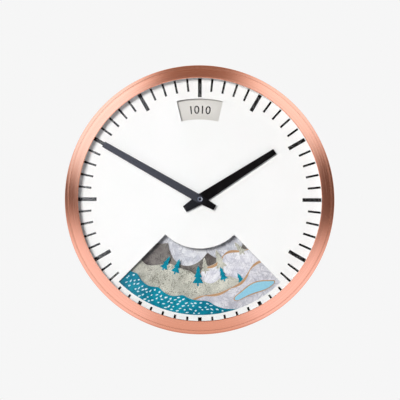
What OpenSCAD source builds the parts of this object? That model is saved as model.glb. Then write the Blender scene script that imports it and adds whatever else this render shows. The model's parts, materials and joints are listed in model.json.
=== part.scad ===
// Wall clock with an aneroid barometer that turns a weather disc behind the dial.
// Every piece is modelled in the clock's own frame: x to the right, y up, z out of the wall
// towards the viewer, with z = 0 on the wall. facing() then stands the clock up, with +Z up
// and the dial looking along -Y.

/* [Case] */
// Outer diameter over the bezel's bead
case_d = 320; // [316:1:326]
// Depth from the wall to the front of the bezel
case_depth = 66; // [66:0.5:70]
// Thickness of the spun sheet
sheet = 1.2; // [1:0.1:1.4]

/* [Dial] */
// Radius of the dial that shows inside the bezel
opening_r = 144.3; // [143:0.1:146]
// Thickness of the dial plate
dial_t = 1.5; // [1:0.1:2]
// Inner radius of the weather window
weather_window_r1 = 58.2; // [56:0.1:62]
// Outer radius of the weather window
weather_window_r2 = 137; // [130:0.1:137]
// Half angle of the weather window about 6 o'clock
weather_window_half = 44.5; // [35:0.5:45]
// Inner radius of the pressure window
scale_window_r1 = 95.7; // [94:0.1:98]
// Outer radius of the pressure window
scale_window_r2 = 120.6; // [115:0.1:121]
// Half angle of the pressure window about 12 o'clock
scale_window_half = 13.2; // [10:0.1:13.5]
// Width of an hour mark
hour_mark_w = 4.4; // [2:0.1:5]
// Width of a minute mark
minute_mark_w = 2.5; // [1:0.1:3]

/* [Hands] */
// Reach of the minute hand from the centre
minute_reach = 131.7; // [110:0.1:135]
// Reach of the hour hand from the centre
hour_reach = 106.2; // [80:0.1:110]
// Clock angle of the minute hand, clockwise from 12
minute_angle = 299.6; // [0:0.1:360]
// Clock angle of the hour hand, clockwise from 12
hour_angle = 57.1; // [0:0.1:360]
// Thickness of a hand
hand_t = 0.8; // [0.5:0.1:0.9]

/* [Weather disc] */
// Radius of the disc that carries the weather picture
disc_r = 141; // [139:0.5:142]
// Thickness of one card layer of the picture
card_t = 0.8; // [0.5:0.1:1]
// Step from one card layer to the next
card_pitch = 1.7; // [1.4:0.1:1.7]

/* [Movement] */
// Side of the square movement
movement_w = 56; // [55:0.5:58]
// Module of the hand gears
hand_module = 0.5; // [0.5:0.1:0.5]
// Module of the motor's gears
train_module = 0.25; // [0.25:0.05:0.25]
// Module of the disc gears
disc_module = 0.75; // [0.75:0.05:0.75]

/* [Hidden] */
$fn = 96;

// Radii of the case
bead_r = case_d / 2;
body_r = bead_r - 3.5;
body_in = body_r - sheet;
skirt_in = body_r + 0.1;
skirt_r = skirt_in + sheet + 0.1;
hem_in = body_r - 4;
flange_in = body_in - 16.3;
post_ring_r = body_in - 5.7;
dial_r = body_in - 2.3;
cover_r = hem_in - 0.5;
glass_r = opening_r + 5.5;

// Heights above the wall, back to front
hem_t = 1.5;
cover_z = 4;
cover_t = 1.5;
flange_z = cover_z + cover_t;
flange_t = 1.5;
post_z = flange_z + flange_t;
chassis_z = 30;
chassis_t = 2;
chassis_front = chassis_z + chassis_t;
seat_z = case_depth - 2.6;
gasket_t = 0.6;
glass_t = 2.5;
glass_z = seat_z - gasket_t - glass_t;
dial_front = case_depth - 12.5;
dial_z = dial_front - dial_t;
hour_hand_z = dial_front + 2.7;
minute_hand_z = hour_hand_z + 1.7;
hand_nut_t = 0.9;
body_front = case_depth - 9;
skirt_z = case_depth - 20;

// Heights of the movement
movement_front = chassis_z - 1;
movement_rear = movement_front - 16.5;
front_plate_t = 1.4;
front_plate_z = movement_front - front_plate_t;
rear_wall_t = 1.6;
shell_wall = 1.4;
hour_wheel_z = front_plate_z - 4;
motion_wheel_z = hour_wheel_z - 3.2;
gear_t = 2;
pinion_over = 0.2;
train_wheel_z = movement_rear + rear_wall_t + 0.6;
train_wheel_t = 0.8;
centre_wheel_z = train_wheel_z + train_wheel_t + 1.1;
movement_drop = 3.5;

// Heights of the weather disc
nut_z = chassis_front + 0.5;
nut_t = 2;
disc_pinion_z = nut_z + nut_t + 0.3;
disc_pinion_t = 3.8;
sector_z = disc_pinion_z + 0.6;
sector_t = 2;
disc_flange_t = 0.9;
disc_z = disc_pinion_z + disc_pinion_t + disc_flange_t;
disc_t = 1;
disc_front = disc_z + disc_t;
hub_boss_t = 5.5;
clip_t = 1;
bush_end = dial_z - 2;
scale_card_z = dial_z - 3.6;
scale_card_t = 0.6;

// Shafts and bores
arbor_r = 1.6;
hand_stud_r = 1.27;
hand_nut_r = 3.1;
pipe_bore_r = 1.68;
pipe_r = 2.6;
bush_bore_r = 2.68;
bush_r = 4;
hub_bore_r = 4.06;
running = 0.06;
screw_r = 1.5;
screw_hole_r = 1.7;
thread_r = 1.55;
screw_head_r = 2.8;
screw_head_h = 1.8;
dial_head_r = 2.5;
dial_head_h = 1.5;
rear_post_r = 4;
front_pillar_r = 3.5;
pivot_r = 0.5;
motion_post_r = 0.8;
// Length of a cutter that passes right through any gear or hub
through = 20;

// Hand gears: the minute arbor's pinion, the motion wheel and pinion, the hour wheel
cannon_teeth = 15;
motion_teeth = 45;
motion_pinion_teeth = 12;
hour_teeth = 48;
setting_teeth = 15;
hand_gear_a = hand_module * (cannon_teeth + motion_teeth) / 2;
motion_dir = 30;
motion_pos = hand_gear_a * [cos(motion_dir), sin(motion_dir)];
setting_dir = 150;
setting_pos = motion_pos + hand_gear_a * [cos(setting_dir), sin(setting_dir)];

// Motor gears: the rotor's pinion, the train wheel and pinion, the centre wheel on the arbor
rotor_teeth = 8;
train_teeth = 72;
train_pinion_teeth = 8;
centre_teeth = 80;
train_dir = 195;
train_pos = train_module * (train_pinion_teeth + centre_teeth) / 2 * [cos(train_dir), sin(train_dir)];
rotor_dir = 103;
rotor_pos = train_pos + train_module * (rotor_teeth + train_teeth) / 2 * [cos(rotor_dir), sin(rotor_dir)];

// Disc gears: the hub's pinion and the sector that the capsule swings
disc_teeth = 24;
sector_teeth = 120;
sector_shown = 13;
sector_a = disc_module * (disc_teeth + sector_teeth) / 2;
sector_pos = [0, -sector_a];
arm_reach = 7.2;
capsule_y = sector_pos[1] - arm_reach;
capsule_z = 22.5;
capsule_r = 15;
capsule_head_x = -9;
capsule_base_x = -40;
adjust_pos = [capsule_base_x - 10.5, capsule_y];
cock_post_pos = [18, sector_pos[1]];

// Step motor
coil_pos = [-21.5, 10.5, 20];
coil_len = 18;
coil_r = 3.6;
coil_flange_r = 4.2;
coil_flange_t = 1.5;

// Back cover
service_w = 74;
keyhole_y = 108;
keyhole_r = 5;
keyhole_slot_r = 2.5;
keyhole_slot_len = 12;

// Post positions, clockwise angles about the axis
post_angles = [45, 135, 225, 315];

// The picture spans this half angle about 6 o'clock, and the scale card this one about 12
art_half = 105;
scale_card_half = 74;
art_r1 = weather_window_r1 - 4;
art_r2 = disc_r - 1;
art_rim = weather_window_r2 + 0.5;

// Shared shapes

// Stands the clock frame up in the part's frame
module facing() { rotate([90, 0, 0]) children(); }

// Lifts a shape to a height above the wall
module at_z(z) { translate([0, 0, z]) children(); }

// Puts a shape at a clock angle and radius
module around(angle, r) { rotate([0, 0, 90 - angle]) translate([r, 0, 0]) children(); }

// Points on an arc, angles counter-clockwise from +x
function arc(c, r, a1, a2, n) = [for (i = [0 : n]) let (a = a1 + (a2 - a1) * i / n)
    c + r * [cos(a), sin(a)]];

// A flat ring
module ring(r1, r2, t) {
    difference() {
        cylinder(r = r2, h = t);
        translate([0, 0, -1]) cylinder(r = r1, h = t + 2);
    }
}

// A wedge of the plane about a middle direction, reaching past radius r
module wedge(mid, half, r) {
    polygon(concat([[0, 0]], arc([0, 0], 1.5 * r, mid - half, mid + half, 8)));
}

// A sector of a flat ring, mid is its middle direction
module ring_sector(r1, r2, mid, half, t) {
    intersection() {
        ring(r1, r2, t);
        linear_extrude(t) wedge(mid, half, r2);
    }
}

// A plate with round corners
module round_plate(w, h, r, t) {
    translate([-w / 2 + r, -h / 2, 0]) cube([w - 2 * r, h, t]);
    translate([-w / 2, -h / 2 + r, 0]) cube([w, h - 2 * r, t]);
    for (x = [-1, 1], y = [-1, 1])
        translate([x * (w / 2 - r), y * (h / 2 - r), 0]) cylinder(r = r, h = t);
}

// A screw seen from the back: head towards -z at height 0, shank towards +z
module back_screw(head_r, head_h, shank_r, shank_len) {
    difference() {
        translate([0, 0, -head_h]) cylinder(r = head_r, h = head_h);
        for (a = [0, 90]) rotate([0, 0, a])
            translate([-head_r * 0.6, -0.35, -head_h - 1]) cube([head_r * 1.2, 0.7, 1.7]);
    }
    cylinder(r = shank_r, h = shank_len);
}

// Gears

pressure_angle = 20;
tooth_addendum = 0.85;
long_addendum = 1;
short_addendum = 0.45;
tooth_dedendum = 1.2;
flank_gap = 0.04;
flank_steps = 3;

// Involute of a base circle at radius r, in degrees
function involute(r, base) = let (t = sqrt(max(0, pow(r / base, 2) - 1))) t * 180 / PI - atan(t);

// Half the angle that a tooth takes up at radius r
function half_tooth(r, m, teeth) = let (
        pitch = m * teeth / 2,
        base = pitch * cos(pressure_angle),
        at_pitch = 90 / teeth - flank_gap / pitch * 180 / PI)
    at_pitch + involute(pitch, base) - involute(max(r, base), base);

// Radii where a flank's points lie, root first
function flank_radii(m, teeth, addendum) = let (
        pitch = m * teeth / 2,
        base = pitch * cos(pressure_angle),
        root = pitch - tooth_dedendum * m,
        tip = pitch + addendum * m,
        low = max(root, base))
    concat(root < base - 0.01 ? [root] : [],
        [for (i = [0 : flank_steps]) low + (tip - low) * i / flank_steps]);

function polar(r, a) = r * [cos(a), sin(a)];

// Outline of one tooth whose middle is at angle a, counter-clockwise
function tooth(m, teeth, a, addendum) = let (radii = flank_radii(m, teeth, addendum), n = len(radii))
    concat([for (i = [0 : n - 1]) polar(radii[i], a - half_tooth(radii[i], m, teeth))],
        [for (i = [n - 1 : -1 : 0]) polar(radii[i], a + half_tooth(radii[i], m, teeth))]);

function gear_points(m, teeth, phase, addendum) =
    [for (k = [0 : teeth - 1], p = tooth(m, teeth, phase + 360 / teeth * k, addendum)) p];

// Phase of a gear that meshes with another, which lies in direction dir as seen from that other
function mesh_phase(teeth1, phase1, dir, teeth2) =
    dir + 180 - 180 / teeth2 + (dir - phase1) * teeth1 / teeth2;

module gear(m, teeth, phase, t, addendum = tooth_addendum) {
    linear_extrude(t) polygon(gear_points(m, teeth, phase, addendum));
}

cannon_phase = 0;
motion_phase = mesh_phase(cannon_teeth, cannon_phase, motion_dir, motion_teeth);
hour_phase = 0;
motion_pinion_phase = mesh_phase(hour_teeth, hour_phase, motion_dir, motion_pinion_teeth);
setting_phase = mesh_phase(motion_teeth, motion_phase, setting_dir, setting_teeth);
centre_phase = 0;
train_pinion_phase = mesh_phase(centre_teeth, centre_phase, train_dir, train_pinion_teeth);
train_phase = 0;
rotor_phase = mesh_phase(train_teeth, train_phase, rotor_dir, rotor_teeth);
sector_phase = 90;
disc_phase = mesh_phase(sector_teeth, sector_phase, 90, disc_teeth);

// Case

// Outline of the bezel: lip, broad band, small step, rounded bead and skirt
lip_round = 0.8;
band_r = 51;
band_a1 = 14;
band_start = [opening_r + lip_round, case_depth];
band_c = band_start - band_r * [sin(band_a1), cos(band_a1)];
band_end_r = bead_r - 5.1;
band_a2 = asin((band_end_r - band_c[0]) / band_r);
shoulder_r = 1;
shoulder_a = 65;
shoulder_c = band_c + (band_r - shoulder_r) * [sin(band_a2), cos(band_a2)];
edge_r = 1.4;
edge_c = [bead_r - edge_r, case_depth - 6.9];
crown_r = 8;
crown_a2 = 36;
crown_c = edge_c - (crown_r - edge_r) * [sin(crown_a2), cos(crown_a2)];
crown_a1 = asin((bead_r - 4.55 - crown_c[0]) / crown_r);

bezel_outline = concat(
    [[opening_r, seat_z]],
    arc([opening_r + lip_round, case_depth - lip_round], lip_round, 180, 90, 4),
    arc(band_c, band_r, 90 - band_a1, 90 - band_a2, 8),
    arc(shoulder_c, shoulder_r, 90 - band_a2, 90 - shoulder_a, 3),
    arc(crown_c, crown_r, 90 - crown_a1, 90 - crown_a2, 5),
    arc(edge_c, edge_r, 90 - crown_a2, -50, 6),
    [[skirt_r, edge_c[1] - 2], [skirt_r, skirt_z], [skirt_in, skirt_z], [skirt_in, body_front + 0.8],
        [band_end_r - 0.9, case_depth - 4.4], [glass_r + 0.5, seat_z]]);

module bezel() {
    color("#d98a6c") rotate_extrude() polygon(bezel_outline);
}

module glass() {
    color("#dfeef2", 0.3) at_z(glass_z) cylinder(r = glass_r, h = glass_t);
}

module glass_gasket() {
    color("#2b2b2b") at_z(glass_z + glass_t) ring(opening_r + 0.6, glass_r, gasket_t);
}

module glass_spacer_ring() {
    color("white") at_z(dial_front) ring(opening_r + 1.5, opening_r + 2.6, glass_z - dial_front);
}

module case_body() {
    color("#d98a6c") difference() {
        union() {
            ring(body_in, body_r, body_front);
            ring(hem_in, body_in + 0.2, hem_t);
            at_z(flange_z) ring(flange_in, body_in + 0.2, flange_t);
        }
        for (a = post_angles) around(a, post_ring_r) at_z(flange_z - 1)
            cylinder(r = screw_hole_r, h = flange_t + 2);
    }
}

module back_cover() {
    vent_rows = 3;
    vent_columns = 9;
    vent_pitch = 9;
    vent_r = 2;
    vent_top = -102;
    adjust_hole_r = 4.5;
    color("#26272a") difference() {
        at_z(cover_z) cylinder(r = cover_r, h = cover_t);
        at_z(cover_z - 1) {
            round_plate(service_w, service_w, 8, cover_t + 2);
            translate([0, keyhole_y, 0]) cylinder(r = keyhole_r, h = cover_t + 2);
            translate([-keyhole_slot_r, keyhole_y, 0])
                cube([2 * keyhole_slot_r, keyhole_slot_len, cover_t + 2]);
            translate([0, keyhole_y + keyhole_slot_len, 0])
                cylinder(r = keyhole_slot_r, h = cover_t + 2);
            translate([adjust_pos[0], adjust_pos[1], 0]) cylinder(r = adjust_hole_r, h = cover_t + 2);
            for (i = [0 : vent_columns - 1], j = [0 : vent_rows - 1])
                translate([(i - (vent_columns - 1) / 2) * vent_pitch, vent_top - j * vent_pitch, 0])
                    cylinder(r = vent_r, h = cover_t + 2);
            for (a = post_angles) around(a, post_ring_r) cylinder(r = screw_hole_r, h = cover_t + 2);
        }
    }
}

module back_cover_screws() {
    color("#8d9095") for (a = post_angles) around(a, post_ring_r) at_z(cover_z)
        back_screw(screw_head_r, screw_head_h, screw_r, 12);
}

// Posts between the case flange and the chassis, threaded at both ends
module rear_posts() {
    color("#c9b26a") for (a = post_angles) around(a, post_ring_r) at_z(post_z) difference() {
        cylinder(r = rear_post_r, h = chassis_z - post_z);
        at_z(-1) cylinder(r = thread_r, h = chassis_z - post_z + 2);
    }
}

// Pillars between the chassis and the dial, each with a stud that screws into the post behind it
module front_pillars() {
    pillar = dial_z - chassis_front;
    thread_len = 9;
    color("#c9b26a") for (a = post_angles) around(a, post_ring_r) at_z(chassis_front) {
        difference() {
            cylinder(r = front_pillar_r, h = pillar);
            at_z(pillar - thread_len) cylinder(r = thread_r, h = thread_len + 1);
        }
        at_z(-thread_len) cylinder(r = screw_r, h = thread_len + 0.5);
    }
}

module chassis_plate() {
    capsule_bay = [34, 28];
    relief_r1 = 62;
    relief_r2 = 124;
    relief_half = 30;
    color("#9aa0a6") at_z(chassis_z) difference() {
        cylinder(r = dial_r, h = chassis_t);
        at_z(-1) {
            cylinder(r = bush_r + 0.1, h = chassis_t + 2);
            for (a = post_angles) around(a, post_ring_r) cylinder(r = screw_hole_r, h = chassis_t + 2);
            translate([sector_pos[0], sector_pos[1], 0]) cylinder(r = 2 + running, h = chassis_t + 2);
            translate([capsule_base_x - 2.6, capsule_y - capsule_bay[1] / 2, 0])
                cube([capsule_bay[0], capsule_bay[1], chassis_t + 2]);
            translate([cock_post_pos[0], cock_post_pos[1], 0]) cylinder(r = thread_r, h = chassis_t + 2);
            for (s = [-1, 1]) translate([adjust_pos[0], adjust_pos[1] + 10 * s, 0])
                cylinder(r = thread_r, h = chassis_t + 2);
            translate([adjust_pos[0], adjust_pos[1], 0]) cylinder(r = 1.9 + running, h = chassis_t + 2);
            for (mid = [90, 0, 180]) intersection() {
                ring(relief_r1, relief_r2, chassis_t + 2);
                linear_extrude(chassis_t + 2) wedge(mid, relief_half, relief_r2);
            }
        }
    }
}

// Dial

module dial_plate() {
    color("white") at_z(dial_z) difference() {
        cylinder(r = dial_r, h = dial_t);
        at_z(-1) {
            cylinder(r = pipe_r + 0.8, h = dial_t + 2);
            ring_sector(weather_window_r1, weather_window_r2, -90, weather_window_half, dial_t + 2);
            ring_sector(scale_window_r1, scale_window_r2, 90, scale_window_half, dial_t + 2);
            for (a = post_angles) around(a, post_ring_r) cylinder(r = screw_hole_r, h = dial_t + 2);
        }
    }
}

// The printed marks: each is a thin bar of ink out to the bezel, cut short below the weather window
mark_r2 = opening_r + 0.4;
hour_mark_r1 = mark_r2 - 22.4;
minute_mark_r1 = mark_r2 - 15.4;
short_mark_r1 = weather_window_r2 + 2.6;
ink_t = 0.1;

function in_window(k) = abs(6 * k - 180) < weather_window_half;

module mark(k, r1, w) {
    start = in_window(k) ? short_mark_r1 : r1;
    around(6 * k, start) translate([0, -w / 2, dial_front]) cube([mark_r2 - start, w, ink_t]);
}

module hour_marks() {
    color("#1d1c1c") for (k = [0 : 5 : 59]) mark(k, hour_mark_r1, hour_mark_w);
}

module minute_marks() {
    color("#1d1c1c") for (k = [0 : 59]) if (k % 5 != 0) mark(k, minute_mark_r1, minute_mark_w);
}

module dial_screws() {
    color("#8d9095") for (a = post_angles) around(a, post_ring_r) at_z(dial_front)
        mirror([0, 0, 1]) back_screw(dial_head_r, dial_head_h, screw_r, dial_t + 7);
}

// Hands

// A flat hand that tapers from its hub to a square tip and to a square tail
module hand_blade(reach, tail, hub_w, tip_w, tail_w) {
    polygon([[-tail, -tail_w / 2], [0, -hub_w / 2], [reach, -tip_w / 2], [reach, tip_w / 2],
        [0, hub_w / 2], [-tail, tail_w / 2]]);
}

module hour_hand() {
    collar = 1.2;
    collar_r = 4.2;
    color("#121213") rotate([0, 0, 90 - hour_angle]) difference() {
        union() {
            at_z(hour_hand_z) linear_extrude(hand_t)
                hand_blade(reach = hour_reach, tail = 21.5, hub_w = 12.6, tip_w = 6.8, tail_w = 8);
            at_z(hour_hand_z - collar) cylinder(r = collar_r, h = collar + 0.3);
        }
        at_z(hour_hand_z - collar - 1) cylinder(r = pipe_r + 0.02, h = through);
    }
}

module minute_hand() {
    color("#121213") rotate([0, 0, 90 - minute_angle]) difference() {
        at_z(minute_hand_z) linear_extrude(hand_t)
            hand_blade(reach = minute_reach, tail = 20.2, hub_w = 9.8, tip_w = 7.1, tail_w = 6.6);
        at_z(minute_hand_z - 1) cylinder(r = hand_stud_r + 0.03, h = through);
    }
}

module hand_nut() {
    color("#1d1d20") at_z(minute_hand_z + hand_t) ring(hand_stud_r + 0.03, hand_nut_r, hand_nut_t);
}

// Movement

module movement_housing() {
    half = movement_w / 2;
    low = -half - movement_drop;
    pocket_h = 15.2;
    divider = 1.2;
    room_y = low + shell_wall + pocket_h + divider;
    depth = front_plate_z - movement_rear;
    color("#2e2f33") difference() {
        translate([0, -movement_drop, movement_rear]) round_plate(movement_w, movement_w, 4, depth);
        // gear room above the battery
        translate([-half + shell_wall, room_y, movement_rear + rear_wall_t])
            cube([movement_w - 2 * shell_wall, half - movement_drop - shell_wall - room_y, depth]);
        // battery room, open at the back
        translate([-half + shell_wall, low + shell_wall, movement_rear - 1])
            cube([movement_w - 2 * shell_wall, pocket_h, depth + 2]);
        at_z(movement_rear + 0.5) cylinder(r = 0.9 + running, h = rear_wall_t + 1);
        translate([setting_pos[0], setting_pos[1], movement_rear - 1])
            cylinder(r = 2 + running, h = rear_wall_t + 2);
        translate([rotor_pos[0], rotor_pos[1], movement_rear + 0.6])
            cylinder(r = pivot_r + running, h = rear_wall_t);
        translate([train_pos[0], train_pos[1], movement_rear + 0.3])
            cylinder(r = pivot_r + 0.02, h = rear_wall_t);
    }
}

module movement_front_plate() {
    boss_len = front_plate_z - motion_wheel_z - gear_t - 0.8;
    color("#3a3b40") difference() {
        union() {
            translate([0, -movement_drop, front_plate_z])
                round_plate(movement_w, movement_w, 4, front_plate_t);
            translate([setting_pos[0], setting_pos[1], front_plate_z - boss_len])
                cylinder(r = 1.8, h = boss_len + 0.5);
        }
        at_z(front_plate_z - 1) cylinder(r = bush_r + 0.05, h = front_plate_t + 2);
        translate([motion_pos[0], motion_pos[1], front_plate_z - 1])
            cylinder(r = motion_post_r + 0.02, h = front_plate_t + 2);
        translate([setting_pos[0], setting_pos[1], front_plate_z - boss_len - 1])
            cylinder(r = 0.9 + running, h = 2.6);
        translate([rotor_pos[0], rotor_pos[1], front_plate_z - 0.5])
            cylinder(r = pivot_r + running, h = 1.2);
    }
}

// Threaded bush: the hour pipe turns inside it and the weather disc on it
module centre_bush() {
    color("#c9a24a") difference() {
        union() {
            at_z(front_plate_z - 1.1) cylinder(r = 6.5, h = 1.1);
            at_z(front_plate_z - 0.5) cylinder(r = bush_r, h = bush_end - front_plate_z + 0.5);
        }
        at_z(front_plate_z - 2) cylinder(r = bush_bore_r, h = bush_end - front_plate_z + 4);
    }
}

module rubber_washer() {
    color("#1a1a1a") at_z(movement_front) ring(bush_r + 0.2, 8, chassis_z - movement_front);
}

module bush_washer() {
    color("#c9a24a") at_z(chassis_front) ring(bush_r + 0.2, 7.5, nut_z - chassis_front);
}

module bush_nut() {
    color("#c9a24a") at_z(nut_z) difference() {
        cylinder(r = 12 / sqrt(3), h = nut_t, $fn = 6);
        at_z(-1) cylinder(r = bush_r + 0.03, h = nut_t + 2);
    }
}

module minute_arbor() {
    color("#b9bcc0") {
        at_z(movement_rear + 0.7) cylinder(r = 0.9, h = rear_wall_t);
        at_z(movement_rear + rear_wall_t + 0.4)
            cylinder(r = arbor_r, h = minute_hand_z - movement_rear - rear_wall_t - 0.4);
        at_z(minute_hand_z - 0.5) cylinder(r = hand_stud_r, h = hand_t + hand_nut_t + 0.4);
        at_z(motion_wheel_z - pinion_over)
            gear(hand_module, cannon_teeth, cannon_phase, gear_t + 2 * pinion_over);
    }
}

module motion_wheel() {
    bore = motion_post_r + running;
    pinion_z = hour_wheel_z - pinion_over;
    color("#d8d2bd") translate([motion_pos[0], motion_pos[1], 0]) difference() {
        union() {
            at_z(motion_wheel_z) gear(hand_module, motion_teeth, motion_phase, gear_t);
            at_z(motion_wheel_z + gear_t - 0.3)
                cylinder(r = 2, h = pinion_z - motion_wheel_z - gear_t + 0.6);
            at_z(pinion_z)
                gear(hand_module, motion_pinion_teeth, motion_pinion_phase, gear_t + 2 * pinion_over);
        }
        at_z(motion_wheel_z - 1) cylinder(r = bore, h = through);
    }
}

// Steel posts: one in the front plate for the motion wheel, one in the back wall for the train wheel
module wheel_posts() {
    post_head = 0.7;
    train_top = centre_wheel_z + train_wheel_t + 0.5;
    color("#b9bcc0") {
        translate([motion_pos[0], motion_pos[1], motion_wheel_z - 1]) {
            cylinder(r = motion_post_r, h = front_plate_z + 1 - motion_wheel_z + 1);
            cylinder(r = motion_post_r + 0.6, h = post_head);
        }
        translate([train_pos[0], train_pos[1], 0]) {
            at_z(movement_rear + 0.4) cylinder(r = pivot_r, h = train_top - movement_rear);
            at_z(train_top) cylinder(r = pivot_r + 0.4, h = post_head);
        }
    }
}

module hour_wheel() {
    color("#d8d2bd") difference() {
        union() {
            at_z(hour_wheel_z) gear(hand_module, hour_teeth, hour_phase, gear_t);
            at_z(hour_wheel_z) cylinder(r = pipe_r, h = hour_hand_z + hand_t + 0.3 - hour_wheel_z);
        }
        at_z(hour_wheel_z - 1) cylinder(r = pipe_bore_r, h = hour_hand_z - hour_wheel_z + 5);
    }
}

module setting_knob() {
    knob_r = 8;
    knob_t = 3.4;
    knob_z = movement_rear - 0.7 - knob_t;
    grips = 18;
    color("#d9d9d6") translate([setting_pos[0], setting_pos[1], 0]) {
        at_z(knob_z) difference() {
            cylinder(r = knob_r, h = knob_t);
            for (k = [0 : grips - 1]) rotate([0, 0, 360 / grips * k]) translate([knob_r + 0.5, 0, -1])
                cylinder(r = 1.1, h = knob_t + 2);
        }
        at_z(knob_z + 1) cylinder(r = 2, h = motion_wheel_z - knob_z - 1);
        at_z(motion_wheel_z - pinion_over)
            gear(hand_module, setting_teeth, setting_phase, gear_t + 2 * pinion_over);
        at_z(motion_wheel_z) cylinder(r = 0.9, h = gear_t + 1.8);
    }
}

battery_r = 7.1;
battery_y = -movement_w / 2 - movement_drop + shell_wall + 7.6;
battery_z = front_plate_z - battery_r - 0.3;

module battery_cell() {
    color("#4a4f57") translate([0, battery_y, battery_z]) rotate([0, 90, 0]) {
        translate([0, 0, -24.6]) cylinder(r = battery_r, h = 48.2);
        translate([0, 0, 23]) cylinder(r = 2.6, h = 2);
    }
}

module battery_contacts() {
    strip = 0.4;
    inside = movement_w / 2 - shell_wall;
    color("#d5d7da") for (s = [-1, 1]) translate([s * (inside - strip / 2 - 0.05), battery_y, battery_z]) {
        cube([strip, 11, 12], center = true);
        translate([-s * 0.45, 0, 0]) rotate([0, 90, 0])
            cylinder(r = 2.2, h = 0.7, center = true);
    }
}

module circuit_board() {
    board_t = 1;
    color("#2f6b45") translate([-25.6, -9, front_plate_z - board_t]) cube([11, 30, board_t]);
}

module motor_coil() {
    color("#b8622f") translate(coil_pos) rotate([90, 0, 0]) difference() {
        union() {
            cylinder(r = coil_r, h = coil_len - 2, center = true);
            for (s = [-1, 1]) translate([0, 0, s * (coil_len - coil_flange_t) / 2])
                cylinder(r = coil_flange_r, h = coil_flange_t, center = true);
        }
        cube([2.2, 1.4, coil_len + 2], center = true);
    }
}

// Laminated loop: a core through the coil, joined to a side bar with the rotor's hole
module motor_stator() {
    lamination = 1.2;
    limb = 2;
    left = coil_pos[0] - limb / 2;
    bar_left = coil_pos[0] + coil_flange_r + 0.7;
    bar_right = 2 * rotor_pos[0] - bar_left;
    low = coil_pos[1] - coil_len / 2 - limb - 0.4;
    tall = coil_len + 2 * limb + 0.8;
    color("#9b9ea3") translate([0, 0, coil_pos[2] - lamination / 2]) difference() {
        union() {
            translate([left, low, 0]) cube([limb, tall, lamination]);
            for (y = [low, low + tall - limb])
                translate([left, y, 0]) cube([bar_right - left, limb, lamination]);
            translate([bar_left, low, 0]) cube([bar_right - bar_left, tall, lamination]);
        }
        translate([rotor_pos[0], rotor_pos[1], -1]) cylinder(r = 2.6, h = lamination + 2);
    }
}

module motor_rotor() {
    color("#6b6e74") translate([rotor_pos[0], rotor_pos[1], 0]) {
        at_z(movement_rear + 0.8) cylinder(r = pivot_r, h = front_plate_z - movement_rear - 0.5);
        at_z(coil_pos[2] - 1.5) cylinder(r = 2.2, h = 3);
        at_z(train_wheel_z - pinion_over)
            gear(train_module, rotor_teeth, rotor_phase, train_wheel_t + 2 * pinion_over, long_addendum);
    }
}

module train_wheel() {
    color("#d8d2bd") translate([train_pos[0], train_pos[1], 0]) difference() {
        union() {
            at_z(train_wheel_z) gear(train_module, train_teeth, train_phase, train_wheel_t, short_addendum);
            at_z(train_wheel_z + train_wheel_t - 0.2)
                gear(train_module, train_pinion_teeth, train_pinion_phase,
                    centre_wheel_z - train_wheel_z + pinion_over + 0.2, long_addendum);
        }
        at_z(train_wheel_z - 1) cylinder(r = pivot_r + running, h = through);
    }
}

// The centre wheel runs on the minute arbor, so that the hands can be set without turning the motor
module centre_wheel() {
    color("#d8d2bd") difference() {
        at_z(centre_wheel_z) {
            gear(train_module, centre_teeth, centre_phase, train_wheel_t, short_addendum);
            cylinder(r = 3, h = 2);
        }
        at_z(centre_wheel_z - 1) cylinder(r = arbor_r + running, h = through);
    }
}

// Weather disc

hub_r = 9;
hub_flange_r = 14;
rivet_ring_r = 11.5;
rivet_r = 1.22;
rivet_hole_r = 1.25;
rivet_angles = [0 : 90 : 270];

module weather_disc() {
    color("#aeb4b8") at_z(disc_z) difference() {
        cylinder(r = disc_r, h = disc_t);
        at_z(-1) cylinder(r = hub_r + 0.05, h = disc_t + 2);
        for (a = rivet_angles) around(a, rivet_ring_r) at_z(-1) cylinder(r = rivet_hole_r, h = disc_t + 2);
    }
}

module disc_hub() {
    color("#c9a24a") difference() {
        union() {
            at_z(disc_pinion_z) gear(disc_module, disc_teeth, disc_phase, disc_pinion_t + 0.2);
            at_z(disc_z - disc_flange_t) cylinder(r = hub_flange_r, h = disc_flange_t);
            at_z(disc_z - 0.3) cylinder(r = hub_r, h = hub_boss_t + 0.3);
        }
        at_z(disc_pinion_z - 1) cylinder(r = hub_bore_r, h = through);
        for (a = rivet_angles) around(a, rivet_ring_r) at_z(disc_z - disc_flange_t - 1)
            cylinder(r = rivet_hole_r, h = disc_flange_t + 1.5);
    }
}

module disc_rivets() {
    color("#c9a24a") for (a = rivet_angles) around(a, rivet_ring_r) {
        at_z(disc_z - disc_flange_t) cylinder(r = rivet_r, h = disc_flange_t + disc_t + 0.2);
        at_z(disc_front) cylinder(r = 2, h = 0.7);
    }
}

module hub_clip() {
    color("#3c3f44") at_z(disc_z + hub_boss_t + 0.1) difference() {
        ring(bush_r + 0.02, 7, clip_t);
        translate([0, -1.5, -1]) cube([10, 3, clip_t + 2]);
    }
}

module scale_card() {
    color("#e4e1da") at_z(scale_card_z)
        ring_sector(scale_window_r1 - 3.5, scale_window_r2 + 3, 90, scale_card_half, scale_card_t);
}

module scale_card_posts() {
    color("#d9d6cf") for (a = [-68 : 34 : 68]) around(a, (scale_window_r1 + scale_window_r2) / 2)
        at_z(disc_front) cylinder(r = 3.5, h = scale_card_z - disc_front);
}

// Picture: card layers of hills and a sea, cut along crests that rise towards the centre.
// psi is the angle from 6 o'clock, positive towards 9.

art_step = 1.5;
function layer_z(k) = disc_front + card_pitch * k;

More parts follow.
